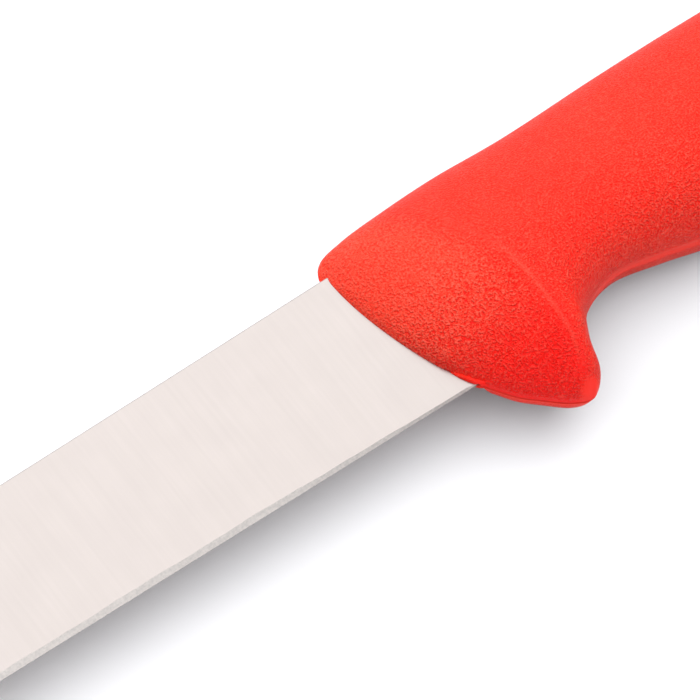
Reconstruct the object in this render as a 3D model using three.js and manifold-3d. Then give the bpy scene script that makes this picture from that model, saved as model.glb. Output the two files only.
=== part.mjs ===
// Boning knife: a ground steel blade whose hidden tang is moulded into a plastic core,
// and a textured grip with a finger guard moulded over that core.
//
// Millimetres, +Z up. The knife lies on its right side: +X runs from the tip to the butt,
// +Y from the cutting edge to the spine. The shapes are drawn from the heel, the rear end
// of the cutting edge, with z = 0 on the blade's middle plane. The whole knife is then moved
// so that the origin is the centre of its footprint on the surface it lies on.
import * as THREE from "three";
import { mergeVertices } from "three/addons/utils/BufferGeometryUtils.js";
import Module from "manifold-3d";

const wasm = await Module();
wasm.setup();

// ---- Driving dimensions ----
const BLADE_LENGTH = 170; // heel to tip
const BLADE_HEIGHT = 25.2; // edge to spine at the heel
const SPINE_SLOPE = 0.0096; // the spine falls this much per mm towards the tip
const EDGE_SLOPE = 0.011; // the edge rises this much per mm towards the tip
const BELLY_LENGTH = 58; // stretch over which the edge sweeps up to the point
const BELLY_POWER = 2.4;
const DROP_LENGTH = 46; // stretch over which the spine drops to the point
const POINT_DROP = 3.1;
const POINT_HEIGHT = 0.3; // the point is this blunt
const HALF_THICKNESS = 0.26; // half the blade at the heel's edge, before the bevel
const GRIND_RISE = 0.0373; // half thickness gained per mm towards the spine
const DISTAL_TAPER = 0.0017; // half thickness lost per mm towards the tip
const BEVEL_WIDTH = 0.93; // width of the honed bevel along the edge
const HEEL_BEVEL_WIDTH = 0.35; // it narrows towards the heel
const BEVEL_GROWTH_LENGTH = 42;
const EDGE_LAND = 0.04; // half width of the cutting edge itself

const TANG_LENGTH = 95; // from the heel into the handle
const TANG_BOTTOM = 8.5;
const TANG_TOP = 18.5;
const SHOULDER_START = 1.5; // the blade keeps its full height this far behind the heel
const SHOULDER_LENGTH = 8;
const TANG_HOLE_RADIUS = 2.5;
const TANG_HOLES = [26, 52, 78];

const CORE_FRONT = 12;
const CORE_LENGTH = 86;
const CORE_BOTTOM = 5.8;
const CORE_TOP = 21.2;
const CORE_HALF_THICKNESS = 5.6;
const CORE_EDGE = 1.6; // chamfer round the core

const HANG_HOLE_X = 118.5;
const HANG_HOLE_Y = 12.5;
const HANG_HOLE_RADIUS = 4;
const HANG_HOLE_CHAMFER = 1.2;

const CLEARANCE = 0.3; // between pieces that touch on the real knife

// Side view of the handle, one closed smooth curve through these points.
const SPINE_SIDE = [[-7.3, 26], [-5.8, 27.8], [-2, 28.5], [5, 28.7], [14, 28.9], [26, 28.6],
  [42, 28.9], [60, 28.9], [80, 28.6], [100, 27.9], [116, 27.5], [124, 26.8]];
const BUTT = [[128.4, 23.6], [130, 15], [129.2, 5.5], [126.6, -1.6], [121.5, -3.6]];
const PALM_SIDE = [[116.5, -1.2], [110, 2.4], [102, 4], [90, 2.4], [75, -0.3], [58, -1.5],
  [44, -0.6]];
const FINGER_GROOVE = [[35.3, 1.4], [27.6, 2.8], [22.4, 1.6], [18.8, -1], [16.4, -4.9],
  [15, -9.1]];
const GUARD_TIP = [12.3, -11];
const FRONT_EDGE = [[9.6, -10], [6.4, -7.3], [3.8, -4.8], [1.5, -1.5], [-0.4, 1], [-2.5, 5.5],
  [-4.5, 11], [-6, 16.5], [-7, 22]];
const OUTLINE_STEPS = 12; // curve steps between two points

// Half thickness of the handle along its length, as [x, half thickness].
const SWELL = [[-8, 9.6], [13, 9.6], [25, 9.3], [57, 10.5], [98, 9.4], [122, 10], [131, 9.4]];
const GUARD_THINNING = 0.05; // half thickness lost per mm below the heel
// A soft crease runs from the spine down to the guard's tip, as [y, x].
const CREASE = [[-10, 11.7], [-4, 13.1], [2, 13.5], [6, 13.5], [12, 12.8], [19, 9.6],
  [30, 4.5]];
const CREASE_HEIGHT = 9.35;
const CAP_SLOPE = 0.06; // ahead of the crease the side falls away like this
const CAP_CURVE = 0.006;
const CREASE_BLEND = 0.3;
// The sides curve down to the outline: width of the curve and its fullness.
const SPINE_ROUNDING = { width: 13, power: 2.4 };
const BUTT_ROUNDING = { width: 11, power: 2.4 };
const PALM_ROUNDING = { width: 13, power: 2.4 };
const GUARD_ROUNDING_WIDTH = 3.2;
const FRONT_ROUNDING = { width: 16, power: 2 };
const GUARD_BACK = { x: 26, length: 10 }; // the palm's rounding turns into the guard's here
const GUARD_ROOT = { y: 6, length: 9 };

// ---- Small tools ----
function clamp01(value) {
  return Math.min(Math.max(value, 0), 1);
}

// Straight or eased interpolation through [position, value] pairs.
function along(table, position, ease) {
  const last = table.length - 1;
  if (position <= table[0][0]) return table[0][1];
  if (position >= table[last][0]) return table[last][1];
  const i = table.findIndex((entry) => entry[0] > position) - 1;
  const [[p0, v0], [p1, v1]] = [table[i], table[i + 1]];
  const t = (position - p0) / (p1 - p0);
  return THREE.MathUtils.lerp(v0, v1, ease ? eased(t) : t);
}

function eased(value) {
  const t = clamp01(value);
  return t * t * (3 - 2 * t);
}

function smoothMin(a, b, blend) {
  const h = clamp01(0.5 + (0.5 * (b - a)) / blend);
  return THREE.MathUtils.lerp(b, a, h) - blend * h * (1 - h);
}

function toSolid(geometry) {
  geometry.deleteAttribute("normal");
  geometry.deleteAttribute("uv");
  const merged = mergeVertices(geometry, 1e-5);
  return new wasm.Manifold(new wasm.Mesh({
    numProp: 3,
    vertProperties: merged.getAttribute("position").array,
    triVerts: new Uint32Array(merged.getIndex().array),
  }));
}

function toGeometry(solid) {
  const { vertProperties, triVerts } = solid.getMesh();
  const geometry = new THREE.BufferGeometry();
  geometry.setAttribute("position", new THREE.BufferAttribute(vertProperties, 3));
  geometry.setIndex(new THREE.BufferAttribute(triVerts, 1));
  geometry.computeVertexNormals();
  return geometry;
}

// Skin over rings of points that lie in planes across X. Each ring runs the same way round,
// and a fan from its middle closes each end.
function loft(rings) {
  const count = rings[0].length;
  const positions = rings.flat(2);
  const index = [];
  for (let i = 0; i < rings.length - 1; i++) {
    for (let j = 0; j < count; j++) {
      const a = i * count + j;
      const b = i * count + ((j + 1) % count);
      index.push(a, b, a + count, b, b + count, a + count);
    }
  }
  for (const end of [0, rings.length - 1]) {
    const middle = positions.length / 3;
    const ring = rings[end];
    const sum = (axis) => ring.reduce((total, point) => total + point[axis], 0) / count;
    positions.push(sum(0), sum(1), sum(2));
    for (let j = 0; j < count; j++) {
      const a = end * count + j;
      const b = end * count + ((j + 1) % count);
      if (end === 0) index.push(middle, b, a);
      else index.push(middle, a, b);
    }
  }
  const geometry = new THREE.BufferGeometry();
  geometry.setAttribute("position", new THREE.Float32BufferAttribute(positions, 3));
  geometry.setIndex(index);
  return geometry;
}

function cylinderAcross(x, y, radius, height, sides = 32, endRadius = radius) {
  const geometry = new THREE.CylinderGeometry(endRadius, radius, height, sides);
  geometry.rotateX(Math.PI / 2);
  geometry.translate(x, y, 0);
  return geometry;
}

// ---- Blade and tang ----
const shoulderEnd = SHOULDER_START + SHOULDER_LENGTH;

function spineAt(x) {
  const drop = clamp01((-x - BLADE_LENGTH + DROP_LENGTH) / DROP_LENGTH);
  const spine = BLADE_HEIGHT + SPINE_SLOPE * Math.min(x, 0) - POINT_DROP * drop ** 2;
  return spine - (BLADE_HEIGHT - TANG_TOP) * eased((x - SHOULDER_START) / SHOULDER_LENGTH);
}

function edgeAt(x) {
  const sweep = clamp01((-x - BLADE_LENGTH + BELLY_LENGTH) / BELLY_LENGTH);
  const bellyStart = EDGE_SLOPE * (BLADE_LENGTH - BELLY_LENGTH);
  const rise = spineAt(-BLADE_LENGTH) - POINT_HEIGHT - bellyStart;
  const straight = -EDGE_SLOPE * THREE.MathUtils.clamp(x, BELLY_LENGTH - BLADE_LENGTH, 0);
  const shoulder = TANG_BOTTOM * eased((x - SHOULDER_START) / SHOULDER_LENGTH);
  return straight + rise * sweep ** BELLY_POWER + shoulder;
}

function bladeHalf(x, y) {
  return HALF_THICKNESS + DISTAL_TAPER * x + GRIND_RISE * y;
}

// The blade and its tang as one loft. With a clearance it is the room that they need.
function bladeRings(fromX, toX, clearance) {
  const stations = new Set([fromX, toX]);
  const addRun = (start, end, steps) => {
    for (let i = 0; i <= steps; i++) stations.add(start + ((end - start) * i) / steps);
  };
  addRun(-BLADE_LENGTH, BELLY_LENGTH - BLADE_LENGTH, 28);
  addRun(-BLADE_LENGTH / 2, 0, 5);
  addRun(SHOULDER_START, shoulderEnd, 8);
  const xs = [...stations].filter((x) => x >= fromX && x <= toX).sort((a, b) => a - b);
  return xs.map((x) => {
    const bottom = edgeAt(x) - clearance;
    const top = spineAt(x) + clearance;
    const growth = eased(-x / BEVEL_GROWTH_LENGTH);
    const bevel = x > 0 ? 0.1 : THREE.MathUtils.lerp(HEEL_BEVEL_WIDTH, BEVEL_WIDTH, growth);
    const bevelTop = Math.min(bottom + bevel, (bottom + top) / 2);
    const land = x > 0 || clearance > 0 ? bladeHalf(x, bottom) + clearance : EDGE_LAND;
    const shoulder = bladeHalf(x, bevelTop) + clearance;
    const spine = bladeHalf(x, top) + clearance;
    return [[x, top, spine], [x, bevelTop, shoulder], [x, bottom, land],
      [x, bottom, -land], [x, bevelTop, -shoulder], [x, top, -spine]];
  });
}

function makeBlade() {
  let blade = toSolid(loft(bladeRings(-BLADE_LENGTH, TANG_LENGTH, 0)));
  const middle = (TANG_BOTTOM + TANG_TOP) / 2;
  for (const x of TANG_HOLES) {
    blade = blade.subtract(toSolid(cylinderAcross(x, middle, TANG_HOLE_RADIUS, 10, 24)));
  }
  return blade;
}

// ---- Core ----
// Rounded bar round the tang. With a clearance it is the hollow of the grip.
function coreBar(clearance) {
  const left = CORE_FRONT - clearance + CORE_EDGE;
  const right = CORE_FRONT + CORE_LENGTH + clearance - CORE_EDGE;
  const low = CORE_BOTTOM - clearance + CORE_EDGE;
  const high = CORE_TOP + clearance - CORE_EDGE;
  const corner = 3;
  const shape = new THREE.Shape();
  shape.moveTo(left + corner, low);
  shape.lineTo(right - corner, low);
  shape.absarc(right - corner, low + corner, corner, -Math.PI / 2, 0);
  shape.absarc(right - corner, high - corner, corner, 0, Math.PI / 2);
  shape.absarc(left + corner, high - corner, corner, Math.PI / 2, Math.PI);
  shape.absarc(left + corner, low + corner, corner, Math.PI, 1.5 * Math.PI);
  const half = CORE_HALF_THICKNESS + clearance - CORE_EDGE;
  const bar = new THREE.ExtrudeGeometry(shape, {
    depth: 2 * half,
    bevelSize: CORE_EDGE,
    bevelThickness: CORE_EDGE,
    bevelSegments: 2,
    curveSegments: 5,
  });
  bar.translate(0, 0, -half);
  return toSolid(bar);
}

// The core fills the tang's holes, which locks the blade in the handle.
function makeCore() {
  const middle = (TANG_BOTTOM + TANG_TOP) / 2;
  let room = toSolid(loft(bladeRings(0, TANG_LENGTH + CLEARANCE, CLEARANCE)));
  for (const x of TANG_HOLES) {
    const radius = TANG_HOLE_RADIUS - CLEARANCE;
    room = room.subtract(toSolid(cylinderAcross(x, middle, radius, 10, 24)));
  }
  return coreBar(0).subtract(room);
}

// ---- Grip ----
const outlinePoints = [...SPINE_SIDE, ...BUTT, ...PALM_SIDE, ...FINGER_GROOVE, GUARD_TIP,
  ...FRONT_EDGE];

function outlineCurve() {
  const points = outlinePoints.map(([x, y]) => new THREE.Vector3(x, y, 0));
  const curve = new THREE.CatmullRomCurve3(points, true, "centripetal");
  const steps = points.length * OUTLINE_STEPS;
  return Array.from({ length: steps }, (_, i) => curve.getPoint(i / steps));
}

const outline = outlineCurve();
const buttStart = SPINE_SIDE.length * OUTLINE_STEPS;
const palmStart = buttStart + (BUTT.length - 1) * OUTLINE_STEPS;
const guardTip = outlinePoints.indexOf(GUARD_TIP) * OUTLINE_STEPS;
const spinePath = outline.slice(0, buttStart + 1);
const buttPath = outline.slice(buttStart, palmStart + 1);
const palmPath = outline.slice(palmStart, guardTip + 1);
const frontPath = [...outline.slice(guardTip), outline[0]];

function distanceTo(points, x, y) {
  let best = Infinity;
  for (let i = 0; i < points.length - 1; i++) {
    const a = points[i];
    const b = points[i + 1];
    const [dx, dy] = [b.x - a.x, b.y - a.y];
    const t = clamp01(((x - a.x) * dx + (y - a.y) * dy) / (dx * dx + dy * dy));
    best = Math.min(best, Math.hypot(x - a.x - t * dx, y - a.y - t * dy));
  }
  return best;
}

// Share of the full thickness at a place in from a stretch of the outline.
function rounded(path, x, y, { width, power }) {
  const outer = clamp01(1 - distanceTo(path, x, y) / width);
  return (1 - outer ** power) ** (1 / power);
}

function gripHalf(x, y) {
  const ahead = along(CREASE, y, false) - x;
  const cap = CREASE_HEIGHT - CAP_SLOPE * ahead - CAP_CURVE * Math.max(ahead, 0) ** 2;
  const guard = GUARD_THINNING * Math.max(-y, 0);
  const crown = smoothMin(along(SWELL, x, true), cap, CREASE_BLEND) - guard;
  const behindGuard = (GUARD_BACK.x - x) / GUARD_BACK.length;
  const atGuard = eased(behindGuard) * eased((GUARD_ROOT.y - y) / GUARD_ROOT.length);
  const palmWidth = THREE.MathUtils.lerp(PALM_ROUNDING.width, GUARD_ROUNDING_WIDTH, atGuard);
  const spine = rounded(spinePath, x, y, SPINE_ROUNDING);
  const butt = rounded(buttPath, x, y, BUTT_ROUNDING);
  const palm = rounded(palmPath, x, y, { width: palmWidth, power: PALM_ROUNDING.power });
  return crown * spine * butt * palm * rounded(frontPath, x, y, FRONT_ROUNDING);
}

// Lowest and highest outline point at a station across the handle.
function outlineSpan(x) {
  const ys = [];
  outline.forEach((a, i) => {
    const b = outline[(i + 1) % outline.length];
    if ((a.x - x) * (b.x - x) > 0 || a.x === b.x) return;
    ys.push(a.y + ((b.y - a.y) * (x - a.x)) / (b.x - a.x));
  });
  return [Math.min(...ys), Math.max(...ys)];
}

function gripRing(x, steps) {
  const [bottom, top] = outlineSpan(x);
  const left = [];
  const right = [];
  for (let j = 0; j <= steps; j++) {
    const y = (bottom + top) / 2 + ((top - bottom) / 2) * Math.cos((Math.PI * j) / steps);
    const z = j === 0 || j === steps ? 0 : gripHalf(x, y);
    left.push([x, y, z]);
    if (j > 0 && j < steps) right.unshift([x, y, -z]);
  }
  return [...left, ...right];
}

function makeGrip() {
  const xs = outline.map((point) => point.x);
  const start = Math.min(...xs) + 0.05;
  const end = Math.max(...xs) - 0.05;
  // Stations crowd together where the outline is steep, at the front edge and at the butt.
  const frontEnd = start + 38;
  const rearStart = end - 16;
  const stations = [];
  const addRun = (steps, place) => {
    for (let i = 0; i < steps; i++) stations.push(place(i / steps));
  };
  addRun(22, (t) => THREE.MathUtils.lerp(start, frontEnd, 1 - Math.cos((Math.PI / 2) * t)));
  addRun(14, (t) => THREE.MathUtils.lerp(frontEnd, rearStart, t));
  addRun(12, (t) => THREE.MathUtils.lerp(rearStart, end, Math.sin((Math.PI / 2) * t)));
  stations.push(end);
  let grip = toSolid(loft(stations.map((x) => gripRing(x, 20))));
  grip = grip.subtract(coreBar(CLEARANCE));
  grip = grip.subtract(toSolid(loft(bladeRings(-15, CORE_FRONT + 1, CLEARANCE))));
  return grip.subtract(hangingHole());
}

// Through hole near the butt, with a chamfer at both mouths.
function hangingHole() {
  const half = 30;
  let hole = toSolid(cylinderAcross(HANG_HOLE_X, HANG_HOLE_Y, HANG_HOLE_RADIUS, 2 * half));
  const face = gripHalf(HANG_HOLE_X, HANG_HOLE_Y);
  const wide = HANG_HOLE_RADIUS + 2 * HANG_HOLE_CHAMFER;
  for (const side of [1, -1]) {
    const cone = new THREE.CylinderGeometry(wide, HANG_HOLE_RADIUS, 2 * HANG_HOLE_CHAMFER, 32);
    cone.rotateX((side * Math.PI) / 2);
    cone.translate(HANG_HOLE_X, HANG_HOLE_Y, side * face);
    hole = hole.add(toSolid(cone));
  }
  return hole;
}

// ---- Assembly ----
const steel = new THREE.MeshStandardMaterial({ color: 0xd9d6d2, roughness: 0.32, metalness: 1 });
const corePlastic = new THREE.MeshStandardMaterial({ color: 0x8f1b14, roughness: 0.6, metalness: 0 });
const gripPlastic = new THREE.MeshStandardMaterial({ color: 0xf0301f, roughness: 0.55, metalness: 0 });

function addPiece(group, name, solid, material) {
  const mesh = new THREE.Mesh(toGeometry(solid), material);
  mesh.name = name;
  group.add(mesh);
}

const knife = new THREE.Group();
addPiece(knife, "blade", makeBlade(), steel);
addPiece(knife, "handle_core", makeCore(), corePlastic);
addPiece(knife, "handle_grip", makeGrip(), gripPlastic);

const extent = new THREE.Box3().setFromObject(knife);
const centre = extent.getCenter(new THREE.Vector3());
knife.position.set(-centre.x, -centre.y, -extent.min.z);

export default knife;
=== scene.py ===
# A butcher's boning knife lying on its right side on a pale table.
#
# The shapes are worked out in millimetres from the heel, the rear end of the cutting edge:
# +X towards the butt, +Y towards the spine, and z = 0 on the blade's middle plane. The heel's
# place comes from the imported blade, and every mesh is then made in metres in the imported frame.
import math

import bpy
import numpy as np
from mathutils import Matrix, Vector
from mathutils.geometry import delaunay_2d_cdt


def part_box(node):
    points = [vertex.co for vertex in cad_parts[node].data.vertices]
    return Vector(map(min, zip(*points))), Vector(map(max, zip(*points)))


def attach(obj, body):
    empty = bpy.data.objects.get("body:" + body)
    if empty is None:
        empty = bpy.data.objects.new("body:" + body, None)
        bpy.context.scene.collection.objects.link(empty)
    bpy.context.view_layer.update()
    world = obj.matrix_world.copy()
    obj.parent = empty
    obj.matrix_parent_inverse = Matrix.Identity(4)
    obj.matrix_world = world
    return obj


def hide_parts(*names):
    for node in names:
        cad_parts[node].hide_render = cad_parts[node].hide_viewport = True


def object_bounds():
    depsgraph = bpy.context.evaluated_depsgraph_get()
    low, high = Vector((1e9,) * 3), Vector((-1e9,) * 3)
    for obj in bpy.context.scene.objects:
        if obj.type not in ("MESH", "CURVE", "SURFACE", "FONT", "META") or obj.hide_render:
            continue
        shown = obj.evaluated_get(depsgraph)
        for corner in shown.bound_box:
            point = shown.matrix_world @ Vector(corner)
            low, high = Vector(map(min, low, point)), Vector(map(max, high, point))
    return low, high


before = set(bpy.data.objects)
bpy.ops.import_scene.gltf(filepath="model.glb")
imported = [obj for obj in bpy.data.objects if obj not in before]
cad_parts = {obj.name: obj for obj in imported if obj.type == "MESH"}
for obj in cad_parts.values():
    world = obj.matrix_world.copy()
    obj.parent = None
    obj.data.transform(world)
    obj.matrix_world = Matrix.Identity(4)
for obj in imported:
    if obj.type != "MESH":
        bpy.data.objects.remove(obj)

cad_low, cad_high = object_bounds()

# ---- Dimensions, in millimetres ----
MM = 0.001
BLADE_LENGTH = 170
BLADE_HEIGHT = 25.2
SPINE_SLOPE = 0.0096
EDGE_SLOPE = 0.011
BELLY_LENGTH = 58
BELLY_POWER = 2.4
DROP_LENGTH = 46
POINT_DROP = 3.1
POINT_HEIGHT = 0.3
HALF_THICKNESS = 0.26
GRIND_RISE = 0.0373
DISTAL_TAPER = 0.0017
BEVEL_WIDTH = 0.93
HEEL_BEVEL_WIDTH = 0.35
BEVEL_GROWTH_LENGTH = 42
# The bevel's unevenness: height, radians per millimetre and start of each wave. The waves grow in
# over a length from the heel.
BEVEL_WAVES = ((0.05, 0.31, 0), (0.04, 0.83, 1), (0.02, 2.3, 0))
BEVEL_WAVES_LENGTH = 20
TANG_BEVEL = 0.1
EDGE_LAND = 0.03
SPINE_RADIUS = 0.25
# Near the point the spine's corners and the bevel keep to these shares of the section.
CORNER_HEIGHT_SHARE = 0.3
CORNER_WIDTH_SHARE = 0.8
BEVEL_HEIGHT_SHARE = 0.5
# A face whose centre is below this share of the bevel's width belongs to the bevel.
BEVEL_MARK_SHARE = 0.75
BLADE_SMOOTH_ANGLE = 3.5

TANG_LENGTH = 95
TANG_BOTTOM = 8.5
TANG_TOP = 18.5
SHOULDER_START = 1.5
SHOULDER_LENGTH = 8
TANG_HOLE_RADIUS = 2.5
TANG_HOLES = (26, 52, 78)
TANG_CUTTER_HALF = 5

CORE_FRONT = 12
CORE_LENGTH = 86
CORE_BOTTOM = 5.8
CORE_TOP = 21.2
CORE_HALF_THICKNESS = 5.6
CORE_CORNER = 3
CORE_EDGE = 1.6
CORE_GAP = 0.3
SLOT_GAP = 0.03

HANG_HOLE = (118.5, 12.5)
HANG_HOLE_RADIUS = 4
HANG_HOLE_ROUND = 1.3
# The hole's cutter widens this much outwards, over this length, beyond the side of the grip.
HANG_HOLE_FLARE = (1, 2)

SPINE_SIDE = [(-7.3, 26), (-5.8, 27.8), (-2, 28.5), (5, 28.7), (14, 28.9), (26, 28.6),
              (42, 28.9), (60, 28.9), (80, 28.6), (100, 27.9), (116, 27.5), (124, 26.8)]
BUTT = [(128.4, 23.6), (130, 15), (129.2, 5.5), (126.6, -1.6), (121.5, -3.6)]
PALM_SIDE = [(116.5, -1.2), (110, 2.4), (102, 4), (90, 2.4), (75, -0.3), (58, -1.5), (44, -0.6)]
FINGER_GROOVE = [(35.3, 1.4), (27.6, 2.8), (22.4, 1.6), (18.8, -1), (16.4, -4.9), (15, -9.1)]
GUARD_TIP = (12.3, -11)
FRONT_EDGE = [(9.6, -10), (6.4, -7.3), (3.8, -4.8), (1.5, -1.5), (-0.4, 1), (-2.5, 5.5),
              (-4.5, 11), (-6, 16.5), (-7, 22)]

# Half thickness at places along X, and the crease's place along X at heights along Y.
SWELL = [(-8, 9.6), (13, 9.6), (25, 9.3), (57, 10.5), (98, 9.4), (122, 10), (131, 9.4)]
GUARD_THINNING = 0.05
CREASE = [(-10, 11.7), (-4, 13.1), (2, 13.5), (6, 13.5), (12, 12.8), (19, 9.6), (30, 4.5)]
CREASE_HEIGHT = 9.35
CAP_SLOPE = 0.06
CAP_CURVE = 0.006
CREASE_BLEND = 0.3
# Each edge of the grip is rounded over a width, with a superellipse of this power.
SPINE_ROUNDING = (13, 2.4)
BUTT_ROUNDING = (11, 2.4)
PALM_ROUNDING = (13, 2.4)
FRONT_ROUNDING = (16, 2)
# A fade is (start, run): 0 at its start, easing to 1 a run further on, or further back if the run
# is negative. The palm side's rounding narrows to the guard's width by one along X and one along Y.
GUARD_ROUNDING_WIDTH = 3.2
GUARD_FADE_X = (26, -10)
GUARD_FADE_Y = (6, -9)
# The mould halves meet on the middle plane in a fine groove, and the right one is a little smaller.
# The groove is nearly closed along the palm side behind the guard, and open all the way round
# the rest of the grip.
PARTING_STEP = 0.06
GROOVE_DEPTH = 0.6
CLOSED_GROOVE_DEPTH = 0.12
GROOVE_HALF_WIDTH = 0.27
GROOVE_OPENS_AHEAD = (17, -4)
GROOVE_OPENS_ABOVE = (8, 8)
# A thin lip of plastic lies along the blade next to the heel.
LIP_WIDTH = 0.5
LIP_TOP = 0.85
LIP_ROUNDING = 0.15
LIP_UPPER_FADE = (5.5, -4)
LIP_LOWER_FADE = (-1.3, 0.9)
HEEL_POCKET = (0.45, -0.35)
HEEL_POCKET_RADIUS = 0.35
HEEL_POCKET_HALF = 0.5
GRIP_SMOOTH_ANGLE = 40

# Stations along X as (start, end, spacing) runs, closest together at the point and the shoulder.
BLADE_STATIONS = ((-BLADE_LENGTH, -BLADE_LENGTH + 6, 0.25), (-BLADE_LENGTH + 6, -100, 0.8),
                  (-100, SHOULDER_START, 1.2), (SHOULDER_START, 10, 0.5), (10, TANG_LENGTH, 5))
SLOT_STATIONS = ((-12, SHOULDER_START, 1), (SHOULDER_START, CORE_FRONT + 1, 0.5))
OUTLINE_STEPS = 24
RIM_SPACING = 0.5
RIM_STEPS = (0.004, 0.014, 0.035, 0.07, 0.12, 0.19, 0.28, 0.39, 0.52, 0.68, 0.87, 1.1, 1.35)
# The staggered grid inside the rim: its spacing, its rows and its clearance as shares of that,
# and the rectangle that it is cut from.
GRID = 0.55
GRID_ROW_SHARE = 0.87
GRID_CLEAR_SHARE = 0.45
GRID_X = (-8, 131)
GRID_Y = (-11, 30)

blade_low, blade_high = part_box("blade")
HEEL = Vector((blade_low.x + BLADE_LENGTH * MM, blade_low.y, (blade_low.z + blade_high.z) / 2))


# ---- Small tools ----
def new_mesh(name, points, faces):
    """A mesh object from points in millimetres from the heel."""
    mesh = bpy.data.meshes.new(name)
    placed = np.asarray(points, float) * MM + np.array(HEEL)
    mesh.from_pydata(placed.tolist(), [], [list(map(int, f)) for f in faces])
    mesh.validate()
    piece = bpy.data.objects.new(name, mesh)
    bpy.context.scene.collection.objects.link(piece)
    return piece


def shade(piece, angle):
    """Smooth shading, with sharp edges where faces meet at more than this many degrees."""
    piece.data.shade_smooth()
    piece.data.set_sharp_from_angle(angle=math.radians(angle))


def cut(piece, cutter):
    """Takes cutter out of piece, and throws cutter away."""
    step = piece.modifiers.new("cut", "BOOLEAN")
    step.operation = "DIFFERENCE"
    step.solver = "EXACT"
    step.object = cutter
    evaluated = piece.evaluated_get(bpy.context.evaluated_depsgraph_get())
    result = bpy.data.meshes.new_from_object(evaluated)
    piece.modifiers.clear()
    old = piece.data
    piece.data = result
    result.name = piece.name
    bpy.data.meshes.remove(old)
    bpy.data.objects.remove(cutter)


def closed_smooth_curve(points, steps):
    """Centripetal Catmull-Rom through a closed loop of points."""
    pts = np.array(points, float)
    t = np.arange(steps)[:, None] / steps
    runs = []
    for i in range(len(pts)):
        p0, p1, p2, p3 = (pts[(i + k) % len(pts)] for k in (-1, 0, 1, 2))
        d0, d1, d2 = (np.linalg.norm(b - a) ** 0.5 for a, b in ((p0, p1), (p1, p2), (p2, p3)))
        m1 = d1 * ((p1 - p0) / d0 - (p2 - p0) / (d0 + d1) + (p2 - p1) / d1)
        m2 = d1 * ((p2 - p1) / d1 - (p3 - p1) / (d1 + d2) + (p3 - p2) / d2)
        runs.append(p1 * (2 * t**3 - 3 * t**2 + 1) + m1 * (t**3 - 2 * t**2 + t)
                    + p2 * (3 * t**2 - 2 * t**3) + m2 * (t**3 - t**2))
    return np.vstack(runs)


def evenly_spaced(loop, spacing):
    """The same closed loop with points about this far apart."""
    closed = np.vstack([loop, loop[:1]])
    run = np.concatenate([[0], np.cumsum(np.linalg.norm(np.diff(closed, axis=0), axis=1))])
    places = np.linspace(0, run[-1], int(round(run[-1] / spacing)), endpoint=False)
    return np.stack([np.interp(places, run, closed[:, k]) for k in (0, 1)], 1)


def distance_to(points, path):
    """Distance from each point to an open path."""
    points = np.asarray(points, float)
    best = np.full(len(points), np.inf)
    for a, b in zip(path[:-1], path[1:]):
        ab = b - a
        t = np.clip((points - a) @ ab / (ab @ ab), 0, 1)
        best = np.minimum(best, np.linalg.norm(points - a - t[:, None] * ab, axis=1))
    return best


def ease(t):
    """0 up to t = 0 and 1 from t = 1, with no corner at either."""
    t = np.clip(t, 0, 1)
    return t * t * (3 - 2 * t)


def fade(place, start, run):
    return ease((place - start) / run)


def along(table, place):
    """Value at a place along a table of (place, value), eased between its entries."""
    places, values = np.array(table, float).T
    place = np.clip(place, places[0], places[-1])
    i = np.clip(np.searchsorted(places, place, side="right") - 1, 0, len(places) - 2)
    t = ease((place - places[i]) / (places[i + 1] - places[i]))
    return values[i] + (values[i + 1] - values[i]) * t


# ---- Grip surface ----
outline_points = SPINE_SIDE + BUTT + PALM_SIDE + FINGER_GROOVE + [GUARD_TIP] + FRONT_EDGE
outline = closed_smooth_curve(outline_points, OUTLINE_STEPS)
butt_start = len(SPINE_SIDE) * OUTLINE_STEPS
palm_start = butt_start + (len(BUTT) - 1) * OUTLINE_STEPS
guard_tip = outline_points.index(GUARD_TIP) * OUTLINE_STEPS
spine_path = outline[:butt_start + 1]
butt_path = outline[butt_start:palm_start + 1]
palm_path = outline[palm_start:guard_tip + 1]
front_path = np.vstack([outline[guard_tip:], outline[:1]])


def rounded(distance, width, power):
    """Share of the full thickness at a distance in from an edge."""
    return (1 - np.clip(1 - distance / width, 0, 1) ** power) ** (1 / power)


def ahead_of_crease(x, y):
    places, values = np.array(CREASE, float).T
    return np.interp(y, places, values) - x


def crown_at(x, y):
    """Half thickness before rounding: the lower of cap and swell, blended where they meet."""
    ahead = ahead_of_crease(x, y)
    cap = CREASE_HEIGHT - CAP_SLOPE * ahead - CAP_CURVE * np.maximum(ahead, 0) ** 2
    swell = along(SWELL, x)
    share = np.clip(0.5 + 0.5 * (cap - swell) / CREASE_BLEND, 0, 1)
    crown = cap + (swell - cap) * share - CREASE_BLEND * share * (1 - share)
    return crown - GUARD_THINNING * np.maximum(-y, 0)


def grip_half(points):
    """Half thickness of the grip at points of the side view."""
    points = np.asarray(points, float)
    x, y = points.T
    at_guard = fade(x, *GUARD_FADE_X) * fade(y, *GUARD_FADE_Y)
    palm_width = PALM_ROUNDING[0] + (GUARD_ROUNDING_WIDTH - PALM_ROUNDING[0]) * at_guard
    front = distance_to(points, front_path)
    lip = fade(y, *LIP_UPPER_FADE) * fade(y, *LIP_LOWER_FADE)
    body = (crown_at(x, y) * rounded(distance_to(points, spine_path), *SPINE_ROUNDING)
            * rounded(distance_to(points, butt_path), *BUTT_ROUNDING)
            * rounded(distance_to(points, palm_path), palm_width, PALM_ROUNDING[1])
            * rounded(np.maximum(front - lip * LIP_WIDTH, 0), *FRONT_ROUNDING))
    return np.maximum(body, lip * LIP_TOP * np.sqrt(np.clip(front / LIP_ROUNDING, 0, 1)))


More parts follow.
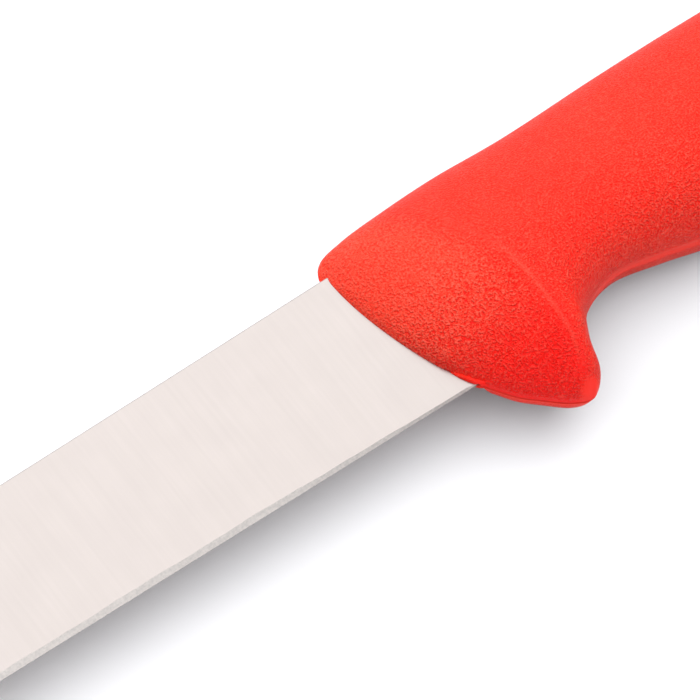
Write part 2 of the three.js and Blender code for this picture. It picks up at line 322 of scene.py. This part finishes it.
def grid_inside(ring):
    """Points of a staggered grid that lie inside a ring and keep clear of it."""
    xs, ys = np.meshgrid(np.arange(*GRID_X, GRID), np.arange(*GRID_Y, GRID * GRID_ROW_SHARE))
    xs[1::2] += GRID / 2
    grid = np.stack([xs.ravel(), ys.ravel()], 1)
    grid = grid[inside(grid, ring)]
    closed = np.vstack([ring, ring[:1]])
    return grid[distance_to(grid, closed) > GRID_CLEAR_SHARE * GRID]


def faces_between(rings, count):
    """Quads between rings of points that are numbered one ring after another."""
    quads = []
    for r in range(rings - 1):
        for i in range(count):
            j = (i + 1) % count
            quads.append((r * count + i, r * count + j, (r + 1) * count + j, (r + 1) * count + i))
    return quads


def grip_points():
    """Points of the side view from the rim inwards, and the faces between them."""
    rim = evenly_spaced(outline, RIM_SPACING)
    ahead = np.roll(rim, -1, 0) - np.roll(rim, 1, 0)
    inward = np.stack([ahead[:, 1], -ahead[:, 0]], 1)
    inward /= np.linalg.norm(inward, axis=1, keepdims=True)
    count = len(rim)
    rings = [rim + inward * d for d in (0, *RIM_STEPS)]
    loose = [Vector(p) for p in np.vstack([rings[-1], grid_inside(rings[-1])])]
    ring_edges = [(i, (i + 1) % count) for i in range(count)]
    middle, _, triangles, _, _, _ = delaunay_2d_cdt(loose, ring_edges, [], 1, 1e-6)
    points = np.vstack([*rings[:-1], np.array([(p.x, p.y) for p in middle])])
    base = (len(rings) - 1) * count
    faces = faces_between(len(rings), count) + [tuple(base + k for k in f) for f in triangles]
    return points, faces, inward


def inside(points, loop):
    """Which points lie inside a closed loop."""
    x, y = points.T
    found = np.zeros(len(points), bool)
    for a, b in zip(loop, np.roll(loop, -1, 0)):
        if a[1] == b[1]:
            continue
        crosses = (a[1] > y) != (b[1] > y)
        found ^= crosses & (x < a[0] + (y - a[1]) * (b[0] - a[0]) / (b[1] - a[1]))
    return found


def groove_opening(x, y):
    """1 where the parting groove is open, and 0 along the palm side."""
    return np.maximum(fade(x, *GROOVE_OPENS_AHEAD), fade(y, *GROOVE_OPENS_ABOVE))


def groove_bottom(rim, inward):
    """Points along the bottom of the parting groove."""
    opening = groove_opening(rim[:, :1], rim[:, 1:])
    depth = CLOSED_GROOVE_DEPTH + (GROOVE_DEPTH - CLOSED_GROOVE_DEPTH) * opening
    return np.column_stack([rim + inward * depth, np.zeros(len(rim))])


def stepped_in(flat, inward):
    """The side view of the right half: its rim lies a little inside the left half's."""
    inset = flat.copy()
    count = len(inward)
    for ring, depth in enumerate((0, *RIM_STEPS[:-1])):
        share = PARTING_STEP * (1 - depth / RIM_STEPS[-1])
        inset[ring * count:(ring + 1) * count] += inward * share
    return inset


def make_grip():
    flat, side_faces, inward = grip_points()
    size, count = len(flat), len(inward)
    half = np.maximum(grip_half(flat), GROOVE_HALF_WIDTH)
    left = np.column_stack([flat, half])
    right = np.column_stack([stepped_in(flat, inward), -half])
    points = np.vstack([left, right, groove_bottom(flat[:count], inward)])
    faces = []
    for f in side_faces:
        up = f if face_turn(flat, f) > 0 else f[::-1]
        faces.append(up)
        faces.append(tuple(size + k for k in up[::-1]))
    # The rim runs clockwise as seen from +Z, so the groove's walls face out of the grip.
    for i in range(count):
        j = (i + 1) % count
        faces.append((i, j, 2 * size + j, 2 * size + i))
        faces.append((2 * size + i, 2 * size + j, size + j, size + i))
    return new_mesh("textured_grip", points, faces)


def face_turn(flat, face):
    """Above zero for a face that runs anticlockwise as seen from +Z."""
    a, b, c = (flat[k] for k in face[:3])
    return (b[0] - a[0]) * (c[1] - a[1]) - (b[1] - a[1]) * (c[0] - a[0])


# ---- Blade ----
def spine_at(x):
    drop = np.clip((-x - BLADE_LENGTH + DROP_LENGTH) / DROP_LENGTH, 0, 1)
    spine = BLADE_HEIGHT + SPINE_SLOPE * np.minimum(x, 0) - POINT_DROP * drop**2
    return spine - (BLADE_HEIGHT - TANG_TOP) * fade(x, SHOULDER_START, SHOULDER_LENGTH)


def edge_at(x):
    sweep = np.clip((-x - BLADE_LENGTH + BELLY_LENGTH) / BELLY_LENGTH, 0, 1)
    straight = -EDGE_SLOPE * np.clip(x, BELLY_LENGTH - BLADE_LENGTH, 0)
    rise = spine_at(-BLADE_LENGTH) - POINT_HEIGHT - EDGE_SLOPE * (BLADE_LENGTH - BELLY_LENGTH)
    shoulder = TANG_BOTTOM * fade(x, SHOULDER_START, SHOULDER_LENGTH)
    return straight + rise * sweep**BELLY_POWER + shoulder


def blade_half(x, y):
    return HALF_THICKNESS + DISTAL_TAPER * x + GRIND_RISE * y


def bevel_at(x):
    """Width of the honed bevel: narrow at the heel, and a little uneven, as a grinder leaves it."""
    uneven = sum(height * np.sin(x * turn + start) for height, turn, start in BEVEL_WAVES)
    growth = (BEVEL_WIDTH - HEEL_BEVEL_WIDTH) * ease(-x / BEVEL_GROWTH_LENGTH)
    return HEEL_BEVEL_WIDTH + growth + uneven * ease(-x / BEVEL_WAVES_LENGTH)


def blade_ring(x, gap):
    """Points round the blade at one station, from the spine down its left side and back up."""
    top = float(spine_at(x)) + gap
    bottom = float(edge_at(x)) - gap
    height = top - bottom
    wide = float(blade_half(x, top)) + gap
    corner = min(SPINE_RADIUS, CORNER_HEIGHT_SHARE * height, CORNER_WIDTH_SHARE * wide)
    bevel = min(float(bevel_at(x)), BEVEL_HEIGHT_SHARE * height) if x <= 0 else TANG_BEVEL
    left = []
    for turn in (90, 60, 30, 0):
        angle = math.radians(turn)
        y = top - corner + corner * math.sin(angle)
        left.append((y, wide - corner + corner * math.cos(angle)))
    for t in (0.25, 0.5, 0.75, 1):
        y = top - corner + (bottom + bevel - top + corner) * t
        left.append((y, float(blade_half(x, y)) + gap))
    land = EDGE_LAND if x <= 0 and gap == 0 else float(blade_half(x, bottom)) + gap
    left.append((bottom, land))
    return [(x, y, z) for y, z in left] + [(x, y, -z) for y, z in left[::-1]]


def loft(name, rings):
    """Skin over rings of points, closed at both ends."""
    count = len(rings[0])
    faces = []
    for i in range(len(rings) - 1):
        for j in range(count):
            a, b = i * count + j, i * count + (j + 1) % count
            faces.append((a, b, b + count, a + count))
    last = (len(rings) - 1) * count
    faces.append(tuple(range(count))[::-1])
    faces.append(tuple(last + j for j in range(count)))
    return new_mesh(name, [p for ring in rings for p in ring], faces)


def stations(*runs):
    """Stations along X from (start, end, spacing) runs."""
    places = [np.linspace(a, b, int(round((b - a) / step)), endpoint=False) for a, b, step in runs]
    return [float(x) for x in np.concatenate([*places, [runs[-1][1]]])]


def circle(x, y, z, radius, steps):
    turns = [2 * math.pi * k / steps for k in range(steps)]
    return [(x + radius * math.cos(t), y + radius * math.sin(t), z) for t in turns]


def cylinder_across(name, x, y, radius, half):
    return loft(name, [circle(x, y, z, radius, 48) for z in (-half, half)])


def make_blade():
    piece = loft("ground_blade", [blade_ring(x, 0) for x in stations(*BLADE_STATIONS)])
    middle = (TANG_BOTTOM + TANG_TOP) / 2
    for i, x in enumerate(TANG_HOLES):
        cut(piece, cylinder_across(f"hole_{i}", x, middle, TANG_HOLE_RADIUS, TANG_CUTTER_HALF))
    shade(piece, BLADE_SMOOTH_ANGLE)
    mark_bevel(piece)
    return piece


def mark_bevel(piece):
    """Gives each blade face 1 on the honed bevel and 0 elsewhere."""
    honed = []
    for face in piece.data.polygons:
        x, y, _ = (face.center - HEEL) / MM
        honed.append(float(x < 0 and y < edge_at(x) + BEVEL_MARK_SHARE * bevel_at(x)))
    layer = piece.data.attributes.new("honed", "FLOAT", "FACE")
    layer.data.foreach_set("value", honed)


def core_room():
    """The hollow in the grip that the core fills."""
    half = CORE_HALF_THICKNESS + CORE_GAP
    levels = ((CORE_EDGE, -half), (0, CORE_EDGE - half), (0, half - CORE_EDGE), (CORE_EDGE, half))
    return loft("core_room", [core_ring(inset, z) for inset, z in levels])


def core_ring(inset, z):
    """The core's rounded rectangle with its gap all round, drawn in by an inset."""
    left, right = CORE_FRONT - CORE_GAP, CORE_FRONT + CORE_LENGTH + CORE_GAP
    low, high = CORE_BOTTOM - CORE_GAP, CORE_TOP + CORE_GAP
    corners = ((right, low, -90), (right, high, 0), (left, high, 90), (left, low, 180))
    points = []
    for x, y, start in corners:
        middle_x = x - math.copysign(CORE_CORNER + inset, x - (left + right) / 2)
        middle_y = y - math.copysign(CORE_CORNER + inset, y - (low + high) / 2)
        for turn in range(0, 91, 15):
            angle = math.radians(start + turn)
            points.append((middle_x + CORE_CORNER * math.cos(angle),
                           middle_y + CORE_CORNER * math.sin(angle), z))
    return points


def hanging_hole():
    """Cutter for the hole near the butt, rounded over where it meets the grip's sides."""
    face = float(grip_half([HANG_HOLE])[0])
    profile = [(0, HANG_HOLE_RADIUS)]
    for turn in range(0, 90, 10):
        angle = math.radians(turn)
        profile.append((face - HANG_HOLE_ROUND * (1 - math.sin(angle)),
                        HANG_HOLE_RADIUS + HANG_HOLE_ROUND * (1 - math.cos(angle))))
    outwards, length = HANG_HOLE_FLARE
    profile.append((face + length, HANG_HOLE_RADIUS + HANG_HOLE_ROUND + outwards))
    whole = [(-z, radius) for z, radius in profile[:0:-1]] + profile
    return loft("hang_hole", [circle(*HANG_HOLE, z, radius, 72) for z, radius in whole])


# ---- Materials ----
# Noises are (scale in cells per metre, detail, roughness), and bump depths are in metres.
NOISE_RANGE = (0.3, 0.7)
COARSE_GRAIN = (3150, 1.0, 0.6)
FINE_GRAIN = (3600, 1.0, 0.6)
FINE_GRAIN_STRENGTH = 0.8
GRAIN_CHANGE = (-1.5, 1.5)
GRAIN_BUMP = 0.00026
# The crease's bead is a bump, and it is also painted paler as a highlight.
CREASE_BEAD_WIDTH = 0.6
CREASE_HIGHLIGHT_SHARE = 0.22
# Colours are linear. The grip's tone runs from deep to pale, which is painted sheen: paler where
# the lamp's sheen would fall. PALE_GRIP is how far it has gone behind the crease, where the cap is
# at 1.
GRIP_DEEP = (1.0, 0.003, 0.0002, 1)
GRIP_PAINTED_SHEEN = (1.0, 0.06, 0.027, 1)
PALE_GRIP = 0.47
PALE_CLOUDS = (-0.09, 0.03)
# Painted light in the grain: its pits are painted darker as shade, and its crests paler as
# highlights.
GRIP_PIT_SHADE = (0.96, 0.004, 0.0003, 1)
PIT_HEIGHTS = (0.5, 0.05)
GRIP_CREST_HIGHLIGHT = (1.0, 0.11, 0.07, 1)
CREST_HEIGHTS = (0.5, 0.95)
DEEP_CREST_SHARE = 0.3
# Painted highlight along the crease.
GRIP_CREASE_HIGHLIGHT = (1.0, 0.16, 0.1, 1)
# Painted shade along the bottom of the parting groove.
GRIP_GROOVE_SHADE = (0.45, 0.002, 0.001, 1)
BOUNCED_GREY = (0.4, 0.4, 0.4, 1)
BOUNCED_SHARE = 0.9
GRIP_ROUGHNESS = (0.3, 0.4)
GRIP_IOR = 1.31
STEEL_LINES = (1700, 60, 60)
STEEL_LINE_BUMP = 0.0000012
STEEL_DARK = (0.425, 0.386, 0.37, 1)
STEEL_LIGHT = (0.443, 0.402, 0.386, 1)
STEEL_CLOUD = (0.411, 0.373, 0.359, 1)
STEEL_CLOUD_SHARE = 0.35
STEEL_ROUGHNESS = (0.28, 0.3)
HONED_DARK = (0.55, 0.525, 0.512, 1)
HONED_LIGHT = (0.66, 0.625, 0.605, 1)
HONED_ROUGHNESS = 0.7
CORE_FLOW = (40, 200, 200)
CORE_DARK = (0.33, 0.02, 0.012, 1)
CORE_LIGHT = (0.4, 0.03, 0.02, 1)
CORE_ROUGHNESS = (0.5, 0.65)
CORE_BUMP = 0.00002
TABLE_TONE = (0.925, 0.925, 0.95, 1)
MIRRORED_TABLE = (0.42, 0.42, 0.42, 1)


class Nodes:
    """Short forms for building a node tree."""

    def __init__(self, tree):
        self.tree = tree

    def node(self, kind, settings=None, **inputs):
        made = self.tree.nodes.new(kind)
        for key, value in (settings or {}).items():
            setattr(made, key, value)
        for key, value in inputs.items():
            self.feed(made.inputs[key.replace("_", " ")], value)
        return made

    def feed(self, socket, value):
        if isinstance(value, bpy.types.NodeSocket):
            self.tree.links.new(value, socket)
        else:
            socket.default_value = value

    def math(self, operation, a, b=0.0, c=0.0):
        made = self.tree.nodes.new("ShaderNodeMath")
        made.operation = operation
        for socket, value in zip(made.inputs, (a, b, c)):
            self.feed(socket, value)
        return made.outputs[0]

    def attribute(self, name):
        return self.node("ShaderNodeAttribute", {"attribute_name": name}).outputs["Fac"]

    def mix_value(self, factor, a, b):
        """The value a, or b where the factor is one."""
        made = self.node("ShaderNodeMix", {"data_type": "FLOAT"})
        for place, value in ((0, factor), (2, a), (3, b)):
            self.feed(made.inputs[place], value)
        return made.outputs[0]

    def range(self, value, low, high, to_low, to_high):
        made = self.node("ShaderNodeMapRange", Value=value)
        keys = ("From Min", "From Max", "To Min", "To Max")
        for key, number in zip(keys, (low, high, to_low, to_high)):
            made.inputs[key].default_value = number
        return made.outputs[0]

    def spread(self, noise, to_low, to_high):
        """A noise with its usual values spread over a range."""
        return self.range(noise, *NOISE_RANGE, to_low, to_high)

    def blend(self, factor, a, b):
        """The colour a, or b where the factor is one."""
        made = self.node("ShaderNodeMix", {"data_type": "RGBA"})
        for place, value in ((0, factor), (6, a), (7, b)):
            self.feed(made.inputs[place], value)
        return made.outputs[2]

    def bump(self, height, depth):
        return self.node("ShaderNodeBump", Height=height, Strength=1.0, Distance=depth).outputs[0]


class Shader(Nodes):
    """A node material, and its textures."""

    def __init__(self, name):
        self.material = bpy.data.materials.new(name)
        self.material.use_nodes = True
        super().__init__(self.material.node_tree)
        self.tree.nodes.clear()
        out = self.tree.nodes.new("ShaderNodeOutputMaterial")
        self.surface = self.tree.nodes.new("ShaderNodeBsdfPrincipled")
        self.tree.links.new(self.surface.outputs[0], out.inputs[0])
        self.place = self.tree.nodes.new("ShaderNodeTexCoord").outputs["Object"]

    def stretched(self, x, y, z):
        """Texture place scaled along each axis, in cells per metre."""
        made = self.node("ShaderNodeMapping", Vector=self.place)
        made.inputs["Scale"].default_value = (x, y, z)
        return made.outputs[0]

    def noise(self, scale, detail=2.0, roughness=0.5, place=None):
        made = self.node("ShaderNodeTexNoise", Vector=place or self.place, Scale=scale,
                         Detail=detail, Roughness=roughness)
        return made.outputs["Fac"]


def grip_grain(s, distance):
    """Height and strength of the grain: coarser and stronger ahead of the crease than behind it."""
    ahead = s.range(distance, *GRAIN_CHANGE, 0.0, 1.0)
    coarse, fine = s.noise(*COARSE_GRAIN), s.noise(*FINE_GRAIN)
    height = s.spread(s.mix_value(ahead, fine, coarse), 0.0, 1.0)
    stronger = s.range(ahead, 0, 1, FINE_GRAIN_STRENGTH, 1.0)
    return height, s.math("MULTIPLY", s.attribute("grain_depth"), stronger)


def grip_tone_and_painted_light(s, height, strength, bead):
    """Red, deepest in the pits and parting groove as painted shade, palest on crests and crease as
    painted highlights.
    """
    # The pale mark is painted sheen, paler where the lamp's sheen would fall, with random clouds in
    # it.
    pale = s.math("ADD", s.attribute("pale"), s.spread(s.noise(60, 3.0), *PALE_CLOUDS))
    # Painted shade in the grain's pits, and painted highlights on its crests.
    pit = s.math("MULTIPLY", s.range(height, *PIT_HEIGHTS, 0.0, 1.0), strength)
    crest = s.math("MULTIPLY", s.range(height, *CREST_HEIGHTS, 0.0, 1.0), strength)
    crest = s.math("MULTIPLY", crest, s.range(pale, 0.0, 1.0, DEEP_CREST_SHARE, 1.0))
    tone = s.blend(pale, GRIP_DEEP, GRIP_PAINTED_SHEEN)
    tone = s.blend(pit, tone, GRIP_PIT_SHADE)
    tone = s.blend(crest, tone, GRIP_CREST_HIGHLIGHT)
    # A painted highlight along the crease's bead.
    tone = s.blend(s.math("MULTIPLY", bead, CREASE_HIGHLIGHT_SHARE), tone, GRIP_CREASE_HIGHLIGHT)
    # Painted shade along the bottom of the parting groove.
    return s.blend(s.attribute("parting"), tone, GRIP_GROOVE_SHADE)


def grip_material():
    s = Shader("red_textured_plastic")
    distance = s.attribute("ahead_of_crease")
    height, strength = grip_grain(s, distance)
    bead = s.range(s.math("ABSOLUTE", distance), 0.0, CREASE_BEAD_WIDTH, 1.0, 0.0)
    bead = s.math("MULTIPLY", bead, s.attribute("crease_relief"))
    relief = s.math("MULTIPLY_ADD", height, strength, bead)
    s.feed(s.surface.inputs["Normal"], s.bump(relief, GRAIN_BUMP))
    tone = grip_tone_and_painted_light(s, height, strength, bead)
    # The light that the handle throws back on the table is neutral, so its shadow stays grey.
    bounced = s.node("ShaderNodeLightPath").outputs["Is Diffuse Ray"]
    tone = s.blend(s.math("MULTIPLY", bounced, BOUNCED_SHARE), tone, BOUNCED_GREY)
    s.feed(s.surface.inputs["Base Color"], tone)
    s.feed(s.surface.inputs["Roughness"], s.spread(s.noise(400, 2.0), *GRIP_ROUGHNESS))
    s.surface.inputs["Subsurface Weight"].default_value = 0.05
    s.surface.inputs["Subsurface Radius"].default_value = (1.0, 0.15, 0.08)
    s.surface.inputs["Subsurface Scale"].default_value = 0.0008
    s.surface.inputs["IOR"].default_value = GRIP_IOR
    return s.material


def steel_material():
    s = Shader("cross_ground_steel")
    honed = s.attribute("honed")
    lines = s.noise(1.0, 3.0, 0.6, s.stretched(*STEEL_LINES))
    cloud = s.noise(170, 3.0)
    s.feed(s.surface.inputs["Normal"], s.bump(lines, STEEL_LINE_BUMP))
    satin = s.blend(s.spread(lines, 0, 1), STEEL_DARK, STEEL_LIGHT)
    satin = s.blend(s.spread(cloud, 0, STEEL_CLOUD_SHARE), satin, STEEL_CLOUD)
    scratched = s.blend(s.spread(s.noise(2600, 2.0), 0, 1), HONED_DARK, HONED_LIGHT)
    s.feed(s.surface.inputs["Base Color"], s.blend(honed, satin, scratched))
    roughness = s.mix_value(honed, s.spread(cloud, *STEEL_ROUGHNESS), HONED_ROUGHNESS)
    s.feed(s.surface.inputs["Roughness"], roughness)
    s.surface.inputs["Metallic"].default_value = 1.0
    return s.material


def core_material():
    s = Shader("plain_core_plastic")
    flow = s.noise(1.0, 3.0, 0.5, s.stretched(*CORE_FLOW))
    tone = s.blend(s.spread(flow, 0, 1), CORE_DARK, CORE_LIGHT)
    s.feed(s.surface.inputs["Base Color"], tone)
    s.feed(s.surface.inputs["Roughness"], s.spread(flow, *CORE_ROUGHNESS))
    s.feed(s.surface.inputs["Normal"], s.bump(s.noise(1500, 2.0), CORE_BUMP))
    return s.material


def table_material():
    s = Shader("pale_table")
    # Handle and blade would mirror the bright table too strongly, so their sheen sees it darker.
    rays = s.node("ShaderNodeLightPath")
    direct = s.math("LESS_THAN", rays.outputs["Diffuse Depth"], 0.5)
    mirrored = s.math("MULTIPLY", rays.outputs["Is Glossy Ray"], direct)
    tone = s.blend(mirrored, TABLE_TONE, MIRRORED_TABLE)
    s.feed(s.surface.inputs["Base Color"], tone)
    s.surface.inputs["Roughness"].default_value = 0.9
    s.surface.inputs["Specular IOR Level"].default_value = 0.1
    return s.material


# ---- Pieces ----
# Fades of the marks on the grip, as (start, run) in millimetres along Y, ahead of the crease, away
# from the middle plane or away from the guard's tip.
# The texture stops short of the parting line, except beside the blade, and of the guard's tip.
GRAIN_OFF_PARTING = (0.6, 0.8)
GRAIN_BESIDE_BLADE_X = (-0.5, -1)
GRAIN_BESIDE_BLADE_Y = (-0.5, 1.5)
GRAIN_OFF_TIP = (1.2, 1)
# It is shallowest along the spine, and deepest low down behind the crease.
SPINE_GRAIN = 0.6
LOWER_GRAIN_GAIN = 0.5
LOWER_GRAIN_FADE = (18, -12)
REAR_GRAIN_GAIN = 0.2
REAR_GRAIN_Y = (8, -5)
REAR_GRAIN_AHEAD = (0, -4)
# Painted sheen: the cap is the palest part, as if lit by the lamp's sheen. The left side of the
# guard is the deepest red, painted shade where it would see no sheen, but for its tip, painted pale
# as a sheen.
PALE_CAP_AHEAD = (0, 6)
PALE_CAP_Y = (0, 12)
DEEP_GUARD_Y = (-5, 12)
DEEP_GUARD_AHEAD = (0, -2)
DEEP_GUARD_Z = (0.3, -0.6)
PALE_TIP = 0.7
PALE_TIP_FADE = (2.8, -1.4)
# The crease's bead and its painted highlight are sharpest beside the guard, and die away towards
# the spine and the tip.
SPINE_CREASE = 0.15
CREASE_FADE_UP = (14, -6)
CREASE_FADE_DOWN = (-9, 4)
HANG_HOLE_CLEARANCE = 1


def finish_piece(piece, material, node):
    piece.data.materials.clear()
    piece.data.materials.append(material)
    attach(piece, "root")
    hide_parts(node)


def grain_depth(x, y, z, ahead, tip_distance):
    beside_blade = fade(x, *GRAIN_BESIDE_BLADE_X) * fade(y, *GRAIN_BESIDE_BLADE_Y)
    depth = np.maximum(fade(np.abs(z), *GRAIN_OFF_PARTING), beside_blade)
    depth *= fade(tip_distance, *GRAIN_OFF_TIP)
    depth *= SPINE_GRAIN + LOWER_GRAIN_GAIN * fade(y, *LOWER_GRAIN_FADE)
    return depth * (1 + REAR_GRAIN_GAIN * fade(y, *REAR_GRAIN_Y) * fade(ahead, *REAR_GRAIN_AHEAD))


# Painted sheen: 1 on the cap, PALE_GRIP behind the crease, and 0 on the guard's left side but for
# its tip.
def painted_sheen_share(y, z, ahead, tip_distance):
    at_cap = fade(ahead, *PALE_CAP_AHEAD) * fade(y, *PALE_CAP_Y)
    tip_sheen = PALE_TIP * fade(tip_distance, *PALE_TIP_FADE)
    off_guard = np.maximum(fade(y, *DEEP_GUARD_Y), fade(ahead, *DEEP_GUARD_AHEAD))
    off_guard = np.maximum(off_guard, np.maximum(fade(z, *DEEP_GUARD_Z), tip_sheen))
    return (PALE_GRIP + (1 - PALE_GRIP) * at_cap) * off_guard


def crease_relief(y):
    lower = SPINE_CREASE + (1 - SPINE_CREASE) * fade(y, *CREASE_FADE_UP)
    return lower * fade(y, *CREASE_FADE_DOWN)


def groove_painted_shade(x, y, z):
    """Painted shade: dark along the bottom of the open groove, but not in the wall of the hanging
    hole.
    """
    dark = np.clip(1 - np.abs(z) / GROOVE_HALF_WIDTH, 0, 1) * groove_opening(x, y)
    hole_distance = np.hypot(x - HANG_HOLE[0], y - HANG_HOLE[1])
    return dark * (hole_distance > HANG_HOLE_RADIUS + HANG_HOLE_CLEARANCE)


def mark_grain(piece):
    """Gives each grip vertex the values that the grip's material reads."""
    flat = np.empty(len(piece.data.vertices) * 3)
    piece.data.vertices.foreach_get("co", flat)
    x, y, z = ((flat.reshape(-1, 3) - np.array(HEEL)) / MM).T
    ahead = ahead_of_crease(x, y)
    tip_distance = np.hypot(x - GUARD_TIP[0], y - GUARD_TIP[1])
    marks = {"ahead_of_crease": ahead,
             "grain_depth": grain_depth(x, y, z, ahead, tip_distance),
             "pale": painted_sheen_share(y, z, ahead, tip_distance),
             "crease_relief": crease_relief(y),
             "parting": groove_painted_shade(x, y, z)}
    for name, values in marks.items():
        layer = piece.data.attributes.new(name, "FLOAT", "POINT")
        layer.data.foreach_set("value", values)


blade = make_blade()
finish_piece(blade, steel_material(), "blade")

grip = make_grip()
cut(grip, loft("blade_slot", [blade_ring(x, SLOT_GAP) for x in stations(*SLOT_STATIONS)]))
cut(grip, core_room())
cut(grip, hanging_hole())
cut(grip, cylinder_across("heel_pocket", *HEEL_POCKET, HEEL_POCKET_RADIUS, HEEL_POCKET_HALF))
shade(grip, GRIP_SMOOTH_ANGLE)
mark_grain(grip)
finish_piece(grip, grip_material(), "handle_grip")

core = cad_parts["handle_core"]
core.data.materials.clear()
core.data.materials.append(core_material())


# ---- Table, light and camera ----
TABLE_SIZE = 1.5
LOOK_AT = (-10.5, 14.5, 0)
CAMERA_DISTANCE = 752
CAMERA_AZIMUTH = -42.8
CAMERA_ELEVATION = 60.2
CAMERA_ROLL = 6.684
CAMERA_LENS = 280.4
CAMERA_CLIP = (0.05, 100)
# The lamp's place and size are in metres and its power in watts.
LAMP_PLACE = (0, 1.0, 4.0)
LAMP_SIZE = 12
LAMP_POWER = 630
ROOM_DARK = 0.08
ROOM_LIGHT = 0.5
BACKDROP = 1.0
PANEL_DARK = 0.85
PANEL_LIGHT = 2.2
PANEL_EDGE = (-0.2, 0.24)
PANEL_FOOT = (0.1, 0.6)
PANEL_FOOT_SHARE = 0.45


def make_table():
    mesh = bpy.data.meshes.new("table")
    h = TABLE_SIZE / 2
    mesh.from_pydata([(-h, -h, 0), (h, -h, 0), (h, h, 0), (-h, h, 0)], [], [(0, 1, 2, 3)])
    table = bpy.data.objects.new("table", mesh)
    bpy.context.scene.collection.objects.link(table)
    table.location.z = cad_low.z
    mesh.materials.append(table_material())


def make_lamp():
    """One wide lamp overhead that faces the origin."""
    lamp = bpy.data.lights.new("overhead", "AREA")
    lamp.shape = "DISK"
    lamp.size = LAMP_SIZE
    lamp.energy = LAMP_POWER
    light = bpy.data.objects.new("overhead", lamp)
    bpy.context.scene.collection.objects.link(light)
    light.location = Vector(LAMP_PLACE)
    light.rotation_mode = "QUATERNION"
    light.rotation_quaternion = (-light.location).to_track_quat("-Z", "Y")
    light.visible_camera = False
    light.visible_glossy = False


def make_camera():
    camera = bpy.data.objects.new("camera", bpy.data.cameras.new("camera"))
    bpy.context.scene.collection.objects.link(camera)
    a, e = math.radians(CAMERA_AZIMUTH), math.radians(CAMERA_ELEVATION)
    back = Vector((math.sin(a) * math.cos(e), -math.cos(a) * math.cos(e), math.sin(e)))
    right = Vector((0, 0, 1)).cross(back).normalized()
    up = back.cross(right)
    roll = math.radians(CAMERA_ROLL)
    image_right = right * math.cos(roll) + up * math.sin(roll)
    image_up = up * math.cos(roll) - right * math.sin(roll)
    turn = Matrix((image_right, image_up, back)).transposed().to_4x4()
    target = HEEL + Vector(LOOK_AT) * MM
    camera.matrix_world = Matrix.Translation(target + back * CAMERA_DISTANCE * MM) @ turn
    camera.data.lens = CAMERA_LENS
    camera.data.clip_start, camera.data.clip_end = CAMERA_CLIP
    bpy.context.scene.camera = camera


def make_world():
    """A dim room, lighter towards +X, with a white backdrop where the camera sees it."""
    world = bpy.data.worlds.new("studio")
    world.use_nodes = True
    w = Nodes(world.node_tree)
    place = w.node("ShaderNodeTexCoord").outputs["Generated"]
    split = w.node("ShaderNodeSeparateXYZ", Vector=place).outputs
    room = w.range(split["X"], -1, 1, ROOM_DARK, ROOM_LIGHT)
    # In reflections the room is a panel that brightens towards +Y and fades towards the floor.
    panel = w.range(split["Y"], *PANEL_EDGE, PANEL_DARK, PANEL_LIGHT)
    panel = w.math("MULTIPLY", panel, w.range(split["Z"], *PANEL_FOOT, PANEL_FOOT_SHARE, 1))
    rays = w.node("ShaderNodeLightPath").outputs
    strength = w.mix_value(rays["Is Glossy Ray"], room, panel)
    strength = w.mix_value(rays["Is Camera Ray"], strength, BACKDROP)
    background = world.node_tree.nodes["Background"]
    w.feed(background.inputs["Strength"], strength)
    background.inputs["Color"].default_value = (1, 1, 1, 1)
    bpy.context.scene.world = world


make_table()
make_world()
make_lamp()
make_camera()
bpy.context.scene.view_settings.view_transform = "Standard"
